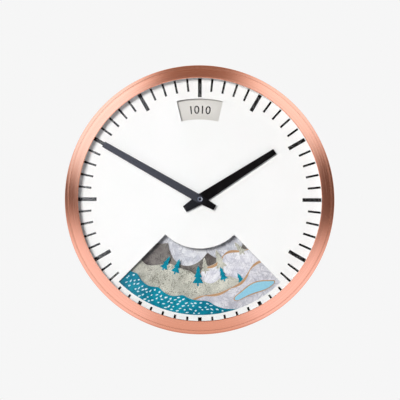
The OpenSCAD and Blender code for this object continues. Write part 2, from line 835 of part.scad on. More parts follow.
// A rolling crest: a mean radius with two waves on it, taken down to the rim outside lo to hi
function fade(psi, lo, hi, soft) =
    min(1, max(0, (psi - lo) / soft), max(0, (hi - psi) / soft));
function ease(t) = t * t * (3 - 2 * t);
function crest(psi, mean, wave, waves, ripple, ripples, turn, lo, hi, soft) = let (
        top = mean + wave * sin(waves * psi + turn) + ripple * sin(ripples * psi - turn),
        up = ease(fade(psi, lo, hi, soft)))
    min(art_rim, art_rim + (top - art_rim) * up);

// Waves with sharp tops, as mountains and a sea have
function peaked(psi, mean, wave, waves, turn, lo, hi, soft) = let (
        top = mean - wave * (1 - abs(sin(waves * psi / 2 + turn))),
        up = ease(fade(psi, lo, hi, soft)))
    min(art_rim, art_rim + (top - art_rim) * up);

function far_ridge(psi) = peaked(psi, mean = 80, wave = 17, waves = 8, turn = 35,
    lo = -140, hi = 140, soft = 20);
function white_hills(psi) = crest(psi, mean = 78, wave = 7, waves = 5.6, ripple = 2, ripples = 13, turn = 60,
    lo = -140, hi = 34, soft = 40);
function grey_hills(psi) = crest(psi, mean = 90, wave = 8, waves = 7, ripple = 2.2, ripples = 15, turn = 150,
    lo = -46, hi = 140, soft = 34);
function near_hills(psi) = crest(psi, mean = 107, wave = 6, waves = 7, ripple = 1.6, ripples = 15, turn = 190,
    lo = -96, hi = 20, soft = 30);
function sea(psi) = peaked(psi, mean = 119, wave = 4.5, waves = 24, turn = 60,
    lo = -22, hi = 140, soft = 26);

art_angles = [for (i = [0 : 2 * art_half / art_step]) -art_half + art_step * i];
function at_psi(r, psi) = polar(r, -90 - psi);

// One card from a list of crest radii out to the rim of the disc
module picture_card(crests, k) {
    n = len(art_angles) - 1;
    at_z(layer_z(k)) linear_extrude(card_t) polygon(concat(
        [for (i = [0 : n]) at_psi(crests[i], art_angles[i])],
        [for (i = [n : -1 : 0]) at_psi(art_r2, art_angles[i])]));
}

module picture_sky() {
    color("#e2e8ee") at_z(layer_z(0)) ring_sector(art_r1, art_r2, -90, art_half, card_t);
}

module picture_far_ridge() {
    color("#787a76") picture_card([for (p = art_angles) far_ridge(p)], 1);
}

module picture_white_hills() {
    color("#eceef2") picture_card([for (p = art_angles) white_hills(p)], 2);
}

module picture_grey_hills() {
    color("#c4c5bd") picture_card([for (p = art_angles) grey_hills(p)], 3);
}

module picture_near_hills() {
    color("#dedee4") picture_card([for (p = art_angles) near_hills(p)], 4);
}

module picture_sea() {
    color("#0f8fa8") picture_card([for (p = art_angles) sea(p)], 5);
}

// Foam strips under the cards, along the rim that the dial hides
module picture_spacers() {
    color("#e9e9e6") for (k = [0 : 4]) at_z(layer_z(k) + card_t)
        ring_sector(art_rim + 0.4, art_r2 - 0.3, -90, art_half - 1, card_pitch - card_t);
}

// Barometer

function sector_outline() = let (
        half = 180 / sector_teeth * sector_shown,
        low = disc_module * sector_teeth / 2 - 6)
    concat(arc([0, 0], low, 90 + half, 90 - half, 12),
        [for (k = [0 : sector_shown - 1],
            p = tooth(disc_module, sector_teeth,
                sector_phase + 360 / sector_teeth * (k - (sector_shown - 1) / 2), tooth_addendum)) p]);

module sector_gear() {
    rim = disc_module * sector_teeth / 2 - 5;
    color("#c9a24a") translate([sector_pos[0], sector_pos[1], sector_z]) difference() {
        union() {
            linear_extrude(sector_t) polygon(sector_outline());
            for (s = [-1, 1]) linear_extrude(sector_t)
                polygon([[0, 0], [s * 5, 2], [s * 13, rim], [s * 8, rim + 1], [0, 8]]);
            cylinder(r = 7, h = sector_t);
        }
        at_z(-1) cylinder(r = 2.02, h = sector_t + 2);
    }
}

arm_z = capsule_z - 1.1;
arm_t = 2.2;
yoke_z = arm_z - 2.4;
yoke_t = 2;
cock_z = 13.5;
cock_t = 2;

module sector_arbor() {
    color("#b9bcc0") translate([sector_pos[0], sector_pos[1], 0]) {
        at_z(cock_z) cylinder(r = 1, h = cock_t + 0.8);
        at_z(cock_z + cock_t + 0.3) cylinder(r = 2, h = sector_z + sector_t + 0.5 - cock_z - cock_t - 0.3);
    }
}

module sector_arm() {
    color("#c9a24a") translate([sector_pos[0], sector_pos[1], arm_z]) difference() {
        union() {
            cylinder(r = 4.4, h = arm_t);
            translate([-2, -arm_reach, 0]) cube([4, arm_reach, arm_t]);
            translate([0, -arm_reach, 0]) cylinder(r = 2, h = arm_t);
            translate([0, -arm_reach, -2.9]) cylinder(r = 1, h = 3.2);
        }
        at_z(-1) cylinder(r = 2.02, h = arm_t + 2);
    }
}

module arbor_cock() {
    color("#aeb1b5") difference() {
        union() {
            translate([sector_pos[0], sector_pos[1], cock_z]) cylinder(r = 5, h = cock_t);
            translate([sector_pos[0], sector_pos[1] - 4, cock_z]) cube([cock_post_pos[0], 8, cock_t]);
            translate([cock_post_pos[0], cock_post_pos[1], cock_z]) cylinder(r = 5, h = chassis_z - cock_z);
        }
        translate([sector_pos[0], sector_pos[1], cock_z - 1]) cylinder(r = 1 + running, h = cock_t + 2);
        translate([cock_post_pos[0], cock_post_pos[1], cock_z - 1])
            cylinder(r = screw_hole_r, h = chassis_z - cock_z + 2);
    }
}

module cock_screws() {
    color("#8d9095") translate([cock_post_pos[0], cock_post_pos[1], cock_z])
        back_screw(screw_head_r, screw_head_h, screw_r, chassis_z - cock_z + chassis_t);
}

// A stack of three evacuated capsules with ribbed faces
capsule_count = 3;
capsule_t = 7;
capsule_gap = 1.5;
capsule_ribs = 3;
socket_len = 4;
stem_r = 1.5;

// Half outline of one capsule about its axis, from its hub to its rim on one side
function capsule_side(x, s) = [for (i = [0 : 6 * capsule_ribs]) let (
        r = 3.5 + (capsule_r - 4.5) * i / (6 * capsule_ribs))
    [r, x + s * (capsule_t / 2 - 0.9 + 0.5 * cos(360 * i / 6))]];

module capsule(x) {
    rotate_extrude() polygon(concat(
        [[0, x - capsule_t / 2]], [[3.5, x - capsule_t / 2]],
        capsule_side(x, -1),
        [[capsule_r, x - 0.6], [capsule_r, x + 0.6]],
        [for (i = [6 * capsule_ribs : -1 : 0]) capsule_side(x, 1)[i]],
        [[3.5, x + capsule_t / 2], [0, x + capsule_t / 2]]));
}

module aneroid_capsules() {
    first = capsule_base_x + 3 + capsule_t / 2;
    pitch = capsule_t + capsule_gap;
    color("#cfae5f") translate([0, capsule_y, capsule_z]) rotate([0, 90, 0]) difference() {
        union() {
            for (k = [0 : capsule_count - 1]) capsule(first + pitch * k);
            translate([0, 0, capsule_base_x])
                cylinder(r = 2.4, h = capsule_head_x - capsule_base_x);
        }
        // socket that the yoke's stem sits in
        translate([0, 0, capsule_head_x - socket_len]) cylinder(r = stem_r + 0.1, h = socket_len + 1);
    }
}

// Fork on the free end of the capsules: the sector arm's pin rides in its slot
module capsule_yoke() {
    stem_start = capsule_head_x - 2.3;
    stem_end = -4;
    color("#b9bcc0") difference() {
        union() {
            translate([stem_start, capsule_y, capsule_z]) rotate([0, 90, 0])
                cylinder(r = stem_r, h = stem_end - stem_start);
            translate([stem_end - 2, capsule_y - 3, yoke_z]) cube([2, 6, capsule_z + 2 - yoke_z]);
            translate([stem_end - 2, capsule_y - 5, yoke_z]) cube([10, 10, yoke_t]);
        }
        translate([-1.06, capsule_y - 2.5, yoke_z - 1]) cube([2.12, 5, yoke_t + 2]);
    }
}

module capsule_bracket() {
    bracket_t = 2;
    foot = [15.5, 30];
    color("#aeb1b5") difference() {
        union() {
            translate([capsule_base_x - bracket_t, capsule_y - 13, 9]) cube([bracket_t, 26, chassis_z - 9]);
            translate([capsule_base_x - bracket_t - foot[0], capsule_y - foot[1] / 2, chassis_z - bracket_t])
                cube([foot[0] + 0.5, foot[1], bracket_t]);
        }
        for (s = [-1, 1]) translate([adjust_pos[0], adjust_pos[1] + 10 * s, chassis_z - bracket_t - 1])
            cylinder(r = screw_hole_r, h = bracket_t + 2);
        translate([adjust_pos[0], adjust_pos[1], chassis_z - bracket_t - 1])
            cylinder(r = 2.6, h = bracket_t + 2);
    }
}

module bracket_screws() {
    color("#8d9095") for (s = [-1, 1])
        translate([adjust_pos[0], adjust_pos[1] + 10 * s, chassis_z - 2])
            back_screw(screw_head_r, screw_head_h, screw_r, 4);
}

// Slotted screw that shifts the bracket to set the reading
module adjusting_screw() {
    head_h = 4;
    color("#c9a24a") translate([adjust_pos[0], adjust_pos[1], chassis_z - 2]) {
        difference() {
            at_z(-head_h - 0.1) cylinder(r = 4, h = head_h);
            translate([-5, -0.5, -head_h - 1.1]) cube([10, 1, 2.2]);
        }
        at_z(-0.6) cylinder(r = 1.9, h = 4.4);
    }
}

facing() bezel();
facing() glass();
facing() glass_gasket();
facing() glass_spacer_ring();
facing() case_body();
facing() back_cover();
facing() back_cover_screws();
facing() rear_posts();
facing() front_pillars();
facing() chassis_plate();
facing() dial_plate();
facing() hour_marks();
facing() minute_marks();
facing() dial_screws();
facing() hour_hand();
facing() minute_hand();
facing() hand_nut();
facing() movement_housing();
facing() movement_front_plate();
facing() centre_bush();
facing() rubber_washer();
facing() bush_washer();
facing() bush_nut();
facing() minute_arbor();
facing() motion_wheel();
facing() wheel_posts();
facing() hour_wheel();
facing() setting_knob();
facing() battery_cell();
facing() battery_contacts();
facing() circuit_board();
facing() motor_coil();
facing() motor_stator();
facing() motor_rotor();
facing() train_wheel();
facing() centre_wheel();
facing() weather_disc();
facing() disc_hub();
facing() disc_rivets();
facing() hub_clip();
facing() scale_card();
facing() scale_card_posts();
facing() picture_sky();
facing() picture_far_ridge();
facing() picture_white_hills();
facing() picture_grey_hills();
facing() picture_near_hills();
facing() picture_sea();
facing() picture_spacers();
facing() sector_gear();
facing() sector_arbor();
facing() sector_arm();
facing() arbor_cock();
facing() cock_screws();
facing() aneroid_capsules();
facing() capsule_yoke();
facing() capsule_bracket();
facing() bracket_screws();
facing() adjusting_screw();
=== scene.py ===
# Weather clock: a copper-rimmed wall clock with a barometer disc that turns behind its dial.
# Everything is in metres in the part's frame: +Z up, the dial looking along -Y, the wall at y = 0.

import json
import math
import random

import bmesh
import bpy
import numpy as np
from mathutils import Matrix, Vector


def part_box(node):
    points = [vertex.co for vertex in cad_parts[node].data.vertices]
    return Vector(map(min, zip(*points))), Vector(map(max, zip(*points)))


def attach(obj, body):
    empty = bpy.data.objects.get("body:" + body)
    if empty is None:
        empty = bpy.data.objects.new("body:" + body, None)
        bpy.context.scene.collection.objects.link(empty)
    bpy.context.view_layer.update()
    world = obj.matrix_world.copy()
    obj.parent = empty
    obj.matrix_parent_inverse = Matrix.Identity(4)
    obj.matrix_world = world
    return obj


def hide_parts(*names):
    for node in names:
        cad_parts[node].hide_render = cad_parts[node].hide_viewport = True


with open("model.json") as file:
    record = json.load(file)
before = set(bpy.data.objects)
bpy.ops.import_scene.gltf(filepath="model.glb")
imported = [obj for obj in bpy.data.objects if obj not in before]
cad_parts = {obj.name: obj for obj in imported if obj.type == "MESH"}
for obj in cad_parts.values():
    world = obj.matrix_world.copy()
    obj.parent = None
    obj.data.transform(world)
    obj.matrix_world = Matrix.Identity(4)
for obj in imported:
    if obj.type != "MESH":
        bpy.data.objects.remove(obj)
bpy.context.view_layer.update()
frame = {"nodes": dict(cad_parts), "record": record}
nodes = frame["nodes"]
MM = 0.001


# Sizes read from the frame

def points(node):
    """Vertices of a solid, one row each."""
    return np.array([v.co for v in nodes[node].data.vertices])


def radii(node):
    """Least and greatest distance of a solid's points from the clock's axis."""
    distance = np.hypot(points(node)[:, 0], points(node)[:, 2])
    return distance.min(), distance.max()


def front(node):
    """The y of a solid's face towards the viewer."""
    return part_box(node)[0].y


opening_r, bead_r = radii("bezel")
bezel_front = front("bezel")
skirt_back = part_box("bezel")[1].y
body_r = radii("case_body")[1]
glass_r = radii("glass")[1]
picture_r = radii("picture_sky")[1]


# Node helpers

def add(tree, kind, inputs=None, **settings):
    """A shader node with its settings, and with values or links on its inputs."""
    made = tree.nodes.new(kind)
    for key, value in settings.items():
        setattr(made, key, value)
    for key, value in (inputs or {}).items():
        if isinstance(value, bpy.types.NodeSocket):
            tree.links.new(value, made.inputs[key])
        else:
            made.inputs[key].default_value = value
    return made


def math_node(tree, operation, a, b=0.0):
    return add(tree, "ShaderNodeMath", {0: a, 1: b}, operation=operation).outputs[0]


def plus(tree, a, b):
    return math_node(tree, "ADD", a, b)


def minus(tree, a, b):
    return math_node(tree, "SUBTRACT", a, b)


def times(tree, a, b):
    return math_node(tree, "MULTIPLY", a, b)


def larger(tree, a, b):
    return math_node(tree, "MAXIMUM", a, b)


def hypot(tree, a, b):
    """Length of the long side of a right triangle with the sides a and b."""
    return math_node(tree, "SQRT", plus(tree, times(tree, a, a), times(tree, b, b)))


def vector_math(tree, operation, a, b):
    return add(tree, "ShaderNodeVectorMath", {0: a, 1: b}, operation=operation).outputs["Vector"]


def xyz(tree, vector):
    """The three parts of a vector, by name."""
    return add(tree, "ShaderNodeSeparateXYZ", {0: vector}).outputs


def own_place(tree):
    """A point's place in the piece's own coordinates."""
    return add(tree, "ShaderNodeTexCoord").outputs["Object"]


def polar(tree, place):
    """Distance from the clock's axis, and the angle about it."""
    axes = xyz(tree, place)
    return hypot(tree, axes["X"], axes["Z"]), math_node(tree, "ARCTAN2", axes["Z"], axes["X"])


def rise(tree, value, none, full, low=0.0, high=1.0, shape="LINEAR"):
    """Goes from low to high as the value goes from none to full, and stays level beyond them."""
    made = add(tree, "ShaderNodeMapRange", {
        "Value": value, "From Min": none, "From Max": full,
        "To Min": low, "To Max": high}, interpolation_type=shape)
    return made.outputs["Result"]


def spread(tree, factor, low, high):
    """A 0 to 1 factor taken to the range low to high."""
    return rise(tree, factor, 0.0, 1.0, low, high)


def ramp(tree, factor, stops, shape="LINEAR"):
    """Colour ramp through (position, colour) stops."""
    made = add(tree, "ShaderNodeValToRGB", {"Fac": factor})
    band = made.color_ramp
    while len(band.elements) < len(stops):
        band.elements.new(0.5)
    for element, (position, colour) in zip(band.elements, stops):
        element.position = position
        element.color = (*colour, 1.0)
    band.interpolation = shape
    return made.outputs["Color"]


def blend(tree, factor, a, b):
    """Colour a turning into colour b as the factor rises."""
    made = add(tree, "ShaderNodeMix", data_type="RGBA")
    for index, value in ((0, factor), (6, a), (7, b)):
        if isinstance(value, bpy.types.NodeSocket):
            tree.links.new(value, made.inputs[index])
        else:
            made.inputs[index].default_value = value if index == 0 else (*value, 1.0)
    return made.outputs[2]


def noise(tree, place, scale, detail=4.0, roughness=0.55, distortion=0.0):
    made = add(tree, "ShaderNodeTexNoise", {
        "Vector": place, "Scale": scale, "Detail": detail,
        "Roughness": roughness, "Distortion": distortion})
    return made.outputs["Fac"]


def stretch(tree, place, factors, turn=0.0):
    """Coordinates turned about y and then scaled along each axis."""
    sizes = [1 / f for f in factors]
    made = add(tree, "ShaderNodeMapping", {"Vector": place, "Rotation": (0, turn, 0), "Scale": sizes},
               vector_type="TEXTURE")
    return made.outputs["Vector"]


def bump(tree, height, depth, strength=1.0):
    made = add(tree, "ShaderNodeBump", {"Height": height, "Distance": depth, "Strength": strength})
    return made.outputs["Normal"]


def start(name, **sockets):
    """A new material with values on its main shader's sockets, its tree and the piece's own coordinates."""
    material = bpy.data.materials.new(name)
    material.use_nodes = True
    tree = material.node_tree
    shader = tree.nodes["Principled BSDF"]
    for key, value in sockets.items():
        shader.inputs[key.replace("_", " ")].default_value = value
    return material, tree, own_place(tree)


def join(tree, **links):
    """Links on the sockets of a material's main shader."""
    shader = tree.nodes["Principled BSDF"]
    for key, value in links.items():
        tree.links.new(value, shader.inputs[key.replace("_", " ")])


def mix_in(tree, factor, other):
    """Lets another shader take the main shader's place as the factor rises."""
    main = tree.nodes["Principled BSDF"]
    mixed = add(tree, "ShaderNodeMixShader", {0: factor, 1: main.outputs[0], 2: other.outputs[0]})
    tree.links.new(mixed.outputs[0], tree.nodes["Material Output"].inputs["Surface"])


# Finishes, with noise scales per metre

def spun_metal(name, dark, light, roughness, turns):
    """Metal turned on a lathe: fine rings round the clock's axis, with a soft tarnish over them."""
    material, tree, place = start(name, Metallic=1.0, Anisotropic=0.75, Anisotropic_Rotation=0.25)
    radius, angle = polar(tree, place)
    change_along_ring = 0.6
    ring_place = add(tree, "ShaderNodeCombineXYZ", {
        "X": times(tree, radius, turns),
        "Y": times(tree, xyz(tree, place)["Y"], turns),
        "Z": times(tree, angle, change_along_ring)}).outputs[0]
    rings = noise(tree, ring_place, scale=1.0, detail=3.0)
    tarnish = noise(tree, place, scale=9.0, detail=3.0)
    clean = ramp(tree, rings, [(0.3, dark), (0.7, light)])
    tangent = add(tree, "ShaderNodeTangent", direction_type="RADIAL", axis="Y").outputs[0]
    join(tree, Base_Color=blend(tree, spread(tree, tarnish, 0.0, 0.35), clean, dark), Tangent=tangent,
         Roughness=spread(tree, rings, roughness - 0.05, roughness + 0.06),
         Normal=bump(tree, rings, depth=0.02 * MM, strength=0.3))
    return material


def worked_metal(name, dark, light, roughness, grain):
    """Sheet or turned stock: a fine grain along x, and roughness that wanders."""
    material, tree, place = start(name, Metallic=1.0)
    streaks = noise(tree, stretch(tree, place, (0.15, 1.0, 1.0)), grain)
    clouds = noise(tree, place, scale=45.0, detail=3.0)
    join(tree, Base_Color=ramp(tree, streaks, [(0.3, dark), (0.72, light)]),
         Roughness=spread(tree, clouds, roughness - 0.08, roughness + 0.1),
         Normal=bump(tree, streaks, depth=0.02 * MM, strength=0.35))
    return material


def coated(name, dark, light, roughness, grain, depth, wander=0.06, **sockets):
    """Paint, plastic, rubber or card: a grained skin with a small drift of tone and of roughness."""
    material, tree, place = start(name, **sockets)
    skin = noise(tree, place, grain, detail=5.0)
    drift = noise(tree, place, scale=18.0, detail=2.0)
    tone = plus(tree, times(tree, skin, 0.5), times(tree, drift, 0.5))
    join(tree, Base_Color=ramp(tree, tone, [(0.35, dark), (0.65, light)]),
         Roughness=spread(tree, skin, roughness - wander, roughness + wander),
         Normal=bump(tree, skin, depth, strength=0.6))
    return material


def painted_front(name, dark, light, roughness, grain, depth, gap_shade_colour):
    """Sheet that is painted towards the viewer only, and dark brown on its back and its cut edges, a dark
    sheet that stands in for shade in the gaps behind the windows.
    """
    material = coated(name, dark, light, roughness, grain, depth)
    tree = material.node_tree
    facing = xyz(tree, add(tree, "ShaderNodeTexCoord").outputs["Normal"])["Y"]
    # Painted shade: the back and the cut edges are dark, so that the gaps behind the windows stay in shade
    turned_away = math_node(tree, "GREATER_THAN", facing, -0.5)
    paint = tree.nodes["Principled BSDF"].inputs["Base Color"].links[0].from_socket
    join(tree, Base_Color=blend(tree, turned_away, paint, gap_shade_colour))
    return material


def ink_with_painted_rim_shade(name, dark, light, roughness, grain, depth):
    """Ink on the dial, glossy away from the rim and dull at the ends of the marks that the rim stands over: a
    painted shade of the lamp's reflection, which the rim would hide there.
    """
    material = coated(name, dark, light, roughness, grain, depth)
    tree = material.node_tree
    radius = polar(tree, own_place(tree))[0]
    # Painted shade: the gloss fades out towards the rim, standing in for the rim hiding the lamp from the
    # ends of the marks
    rim_shade_r, glossy_r = opening_r - 0.7 * MM, opening_r - 7 * MM
    full_gloss = 0.5
    gloss = rise(tree, radius, rim_shade_r, glossy_r, high=full_gloss, shape="SMOOTHSTEP")
    join(tree, Specular_IOR_Level=gloss)
    return material


def fibre_paper(name, pale, mid, shade):
    """Hand-made paper: pale threads lying across each other over a cloudy sheet, whose darker patches lie in
    the dips of its bump, partly random tone and partly painted crumple shade.
    """
    material, tree, place = start(name, Specular_IOR_Level=0.25)
    clouds = noise(tree, place, scale=95.0, detail=5.0)
    # The sheet's tone follows the height of its bump, darker in the dips: painted shade of the crumples as
    # well as random tone
    sheet = ramp(tree, clouds, [(0.36, mid), (0.58, pale)])
    thread_half = 0.016
    threads = None
    for turn, size in ((0.5, 150.0), (1.7, 190.0), (2.7, 120.0)):
        along_thread = stretch(tree, place, (1.0, 1.0, 0.13), turn)
        strand = noise(tree, along_thread, size, detail=2.0, roughness=0.5, distortion=1.2)
        ridge = math_node(tree, "ABSOLUTE", minus(tree, strand, 0.5))
        line = math_node(tree, "LESS_THAN", ridge, thread_half)
        threads = line if threads is None else larger(tree, threads, line)
    height = plus(tree, clouds, times(tree, threads, 0.3))
    join(tree, Base_Color=blend(tree, times(tree, threads, 0.6), sheet, shade),
         Roughness=spread(tree, clouds, 0.78, 0.95),
         Normal=bump(tree, height, depth=0.9 * MM, strength=0.7))
    return material


def stone_paper(name, pale, mid, speck):
    """Speckled paper: mottled, with small dark specks gathered in patches."""
    material, tree, place = start(name, Specular_IOR_Level=0.25)
    mottle = noise(tree, place, scale=55.0, detail=5.0)
    fine = noise(tree, place, scale=1300.0, detail=2.0, roughness=0.6)
    patch = noise(tree, place, scale=90.0, detail=2.0)
    amount = plus(tree, fine, times(tree, patch, 0.35))
    specks = ramp(tree, amount, [(0.69, (0, 0, 0)), (0.8, (1, 1, 1))])
    sheet = ramp(tree, mottle, [(0.38, mid), (0.6, pale)])
    join(tree, Base_Color=blend(tree, specks, sheet, speck),
         Roughness=spread(tree, mottle, 0.8, 0.95),
         Normal=bump(tree, fine, depth=0.12 * MM, strength=0.5))
    return material


def clear_glass(name):
    """Flat glass that mirrors the room, and that lets the light through to the dial and back."""
    material, tree, place = start(name, Transmission_Weight=1.0, IOR=1.45, Roughness=0.0)
    haze = noise(tree, place, scale=30.0, detail=2.0)
    join(tree, Base_Color=ramp(tree, haze, [(0.3, (0.985, 0.995, 0.99)), (0.7, (1.0, 1.0, 1.0))]))
    light_path = add(tree, "ShaderNodeLightPath").outputs
    inside = add(tree, "ShaderNodeNewGeometry").outputs["Backfacing"]
    passing = math_node(tree, "GREATER_THAN", light_path["Transparent Depth"], 0.5)
    crossing = larger(tree, minus(tree, 1.0, inside), passing)
    bounced = times(tree, light_path["Is Reflection Ray"], light_path["Is Glossy Ray"])
    open_ray = larger(tree, light_path["Is Shadow Ray"], light_path["Is Diffuse Ray"])
    open_ray = larger(tree, open_ray, times(tree, bounced, crossing))
    mix_in(tree, open_ray, add(tree, "ShaderNodeBsdfTransparent"))
    return material


def cell_jacket(name):
    """Dry cell: a dark wrap with a copper-coloured end, and steel caps."""
    material, tree, place = start(name)
    low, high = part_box("battery_cell")
    share = rise(tree, xyz(tree, place)["X"], low.x, high.x)
    wear = noise(tree, place, scale=400.0)
    steel, wrap, band = (0.55, 0.55, 0.56), (0.02, 0.022, 0.025), (0.45, 0.2, 0.1)
    stops = [(0.0, steel), (0.02, wrap), (0.68, wrap), (0.69, band), (0.94, band), (0.95, steel)]
    wrapped = ramp(tree, share, stops, "CONSTANT")
    join(tree, Base_Color=blend(tree, times(tree, wear, 0.12), wrapped, steel),
         Roughness=spread(tree, wear, 0.25, 0.4))
    return material


# Metals have two tones, a roughness and a grain, coats the depth of the grain too, and papers three tones
FINISHES = {
    "copper": spun_metal("spun_copper", (0.73, 0.3, 0.185), (0.89, 0.41, 0.265), 0.25, 2600.0),
    "clear_glass": clear_glass("front_glass"),
    "black_rubber": coated("rubber", (0.012, 0.012, 0.012), (0.03, 0.03, 0.03), 0.72, 900.0, 0.03 * MM),
    "white_plastic": coated("white_ring", (0.6, 0.6, 0.595), (0.66, 0.66, 0.655), 0.5, 600.0, 0.01 * MM),
    "white_paint": painted_front("dial_paint", (0.915, 0.915, 0.913), (0.935, 0.935, 0.933), 0.55, 700.0,
                                 0.006 * MM, gap_shade_colour=(0.09, 0.075, 0.06)),
    "black_ink": ink_with_painted_rim_shade("mark_ink", (0.003, 0.0028, 0.0028), (0.006, 0.0056, 0.0056), 0.21, 1500.0,
                             0.002 * MM),
    "black_paint": coated("hand_paint", (0.003, 0.0027, 0.003), (0.006, 0.0055, 0.006), 0.4, 1200.0,
                          0.004 * MM, Specular_IOR_Level=0.01),
    "black_coat": coated("cover_coat", (0.014, 0.014, 0.015), (0.028, 0.028, 0.03), 0.55, 1400.0, 0.04 * MM),
    "zinc_steel": worked_metal("zinc_plate", (0.48, 0.49, 0.51), (0.66, 0.67, 0.68), 0.34, 700.0),
    "bright_steel": worked_metal("bright_steel", (0.55, 0.56, 0.57), (0.74, 0.74, 0.75), 0.24, 900.0),
    "brass": worked_metal("turned_brass", (0.62, 0.42, 0.15), (0.83, 0.62, 0.27), 0.3, 800.0),
    "chassis_metal": worked_metal("rolled_sheet", (0.4, 0.41, 0.42), (0.58, 0.59, 0.6), 0.42, 500.0),
    "black_plastic": coated("movement_plastic", (0.016, 0.016, 0.018), (0.032, 0.032, 0.035), 0.5, 1100.0,
                            0.03 * MM),
    "ivory_plastic": coated("gear_plastic", (0.66, 0.63, 0.53), (0.75, 0.72, 0.62), 0.42, 900.0, 0.01 * MM),
    "cell_jacket": cell_jacket("cell_wrap"),
    "board_green": coated("circuit_board", (0.01, 0.07, 0.03), (0.02, 0.13, 0.06), 0.4, 300.0, 0.02 * MM),
    "copper_wire": worked_metal("coil_wire", (0.5, 0.16, 0.07), (0.72, 0.28, 0.13), 0.32, 2500.0),
    "cream_card": coated("number_card", (0.715, 0.695, 0.666), (0.775, 0.754, 0.725), 0.85, 800.0, 0.02 * MM),
    "sky_paper": fibre_paper("sky_paper", (0.86, 0.87, 0.92), (0.62, 0.64, 0.72), (0.45, 0.46, 0.54)),
    "ridge_paper": stone_paper("ridge_paper", (0.3, 0.28, 0.26), (0.13, 0.11, 0.105), (0.03, 0.027, 0.026)),
    "white_paper": fibre_paper("hill_paper", (0.9, 0.9, 0.95), (0.7, 0.7, 0.79), (0.5, 0.5, 0.59)),
    "grey_paper": stone_paper("stone_paper", (0.72, 0.71, 0.63), (0.5, 0.5, 0.44), (0.16, 0.16, 0.13)),
    "ivory_paper": fibre_paper("near_paper", (0.78, 0.77, 0.82), (0.56, 0.56, 0.64), (0.4, 0.4, 0.47)),
    "teal_paper": stone_paper("sea_paper", (0.008, 0.32, 0.44), (0.003, 0.19, 0.29), (0.002, 0.1, 0.16)),
    "foam": coated("card_foam", (0.68, 0.68, 0.66), (0.78, 0.78, 0.76), 0.9, 1000.0, 0.05 * MM),
}
minute_paint = coated("minute_lacquer", (0.003, 0.003, 0.0034), (0.006, 0.006, 0.0066), 0.02, 1200.0,
                      0.0002 * MM, wander=0.01, Specular_IOR_Level=1.0, Coat_Weight=1.0, Coat_Roughness=0.02,
                      Coat_IOR=2.0)
nut_black = worked_metal("blackened_nut", (0.14, 0.14, 0.165), (0.22, 0.22, 0.25), 0.3, 900.0)
tan_card = coated("tan_card", (0.42, 0.24, 0.12), (0.58, 0.36, 0.2), 0.8, 1200.0, 0.03 * MM)
foam_fleck = coated("pale_fleck", (0.55, 0.78, 0.86), (0.78, 0.9, 0.93), 0.8, 1500.0, 0.02 * MM)
lake_paper = coated("lake_paper", (0.24, 0.56, 0.74), (0.34, 0.65, 0.8), 0.8, 600.0, 0.03 * MM)

for part in frame["record"]["subparts"]:
    mesh = nodes[part["node"]].data
    mesh.materials.clear()
    mesh.materials.append(FINISHES[part["material_slot"]])
nodes["minute_hand"].data.materials[0] = minute_paint


# Mesh helpers

def piece(name, verts, faces, material, body, slot, sharp=math.radians(35)):
    """A mesh piece that rides on a body, smooth except along its sharp edges."""
    mesh = bpy.data.meshes.new(name)
    mesh.from_pydata(verts, [], faces)
    shape = bmesh.new()
    shape.from_mesh(mesh)
    bmesh.ops.recalc_face_normals(shape, faces=shape.faces)
    shape.to_mesh(mesh)
    shape.free()
    mesh.shade_smooth()
    mesh.set_sharp_from_angle(angle=sharp)
    mesh.materials.append(material)
    made = bpy.data.objects.new(name, mesh)
    bpy.context.scene.collection.objects.link(made)
    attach(made, body)
    return made


def lathe(outline, segments=360):
    """Vertices and faces of a closed (radius, y) outline turned about the clock's axis."""
    count = len(outline)
    verts = []
    faces = []
    for s in range(segments):
        angle = 2 * math.pi * s / segments
        verts += [(r * math.cos(angle), y, r * math.sin(angle)) for r, y in outline]
        ahead = (s + 1) % segments
        for i in range(count):
            j = (i + 1) % count
            faces.append((s * count + i, s * count + j, ahead * count + j, ahead * count + i))
    return verts, faces


def arc(centre, radius, first, last, steps):
    """Points on an arc in the (radius, depth) plane, degrees from the radius axis towards the front."""
    turns = [math.radians(first + (last - first) * i / steps) for i in range(steps + 1)]
    return [(centre[0] + radius * math.cos(t), centre[1] + radius * math.sin(t)) for t in turns]


def tilted(centre, radius, tilt):
    """The point of a circle where its surface leans outwards by an angle in degrees."""
    lean = math.radians(tilt)
    return (centre[0] + radius * math.sin(lean), centre[1] + radius * math.cos(lean))


def lean_at(centre, radius, r):
    """The angle in degrees by which a circle's surface leans outwards at a radius from the axis."""
    return math.degrees(math.asin((r - centre[0]) / radius))


# Bezel: lip, broad band, small step, rounded bead and skirt, with depths taken forward from the wall

depth = -bezel_front
seat = -front("glass_gasket")
lip = 0.8 * MM
band_r = 51 * MM
band_tilt = 14.0
band_end = bead_r - 5.1 * MM
shoulder_r = 2 * MM
shoulder_tilt = 45.0
crown_start = bead_r - 4.3 * MM
crown_r = 8 * MM
crown_tilt = 36.0
edge_r = 1.4 * MM
edge_c = (bead_r - edge_r, depth - 6.9 * MM)
edge_last = -50.0
skirt_in = body_r + 0.1 * MM
skirt_r = skirt_in + 1.3 * MM
skirt_top = edge_c[1] - 2 * MM
under_bead = (skirt_in, depth - 8.2 * MM)
under_step = (band_end - 0.9 * MM, depth - 4.4 * MM)
under_band = (glass_r + 0.5 * MM, seat)

band_c = tilted((opening_r + lip, depth), -band_r, band_tilt)
end_tilt = lean_at(band_c, band_r, band_end)
shoulder_c = tilted(band_c, band_r - shoulder_r, end_tilt)
crown_c = tilted(edge_c, edge_r - crown_r, crown_tilt)
start_tilt = lean_at(crown_c, crown_r, crown_start)

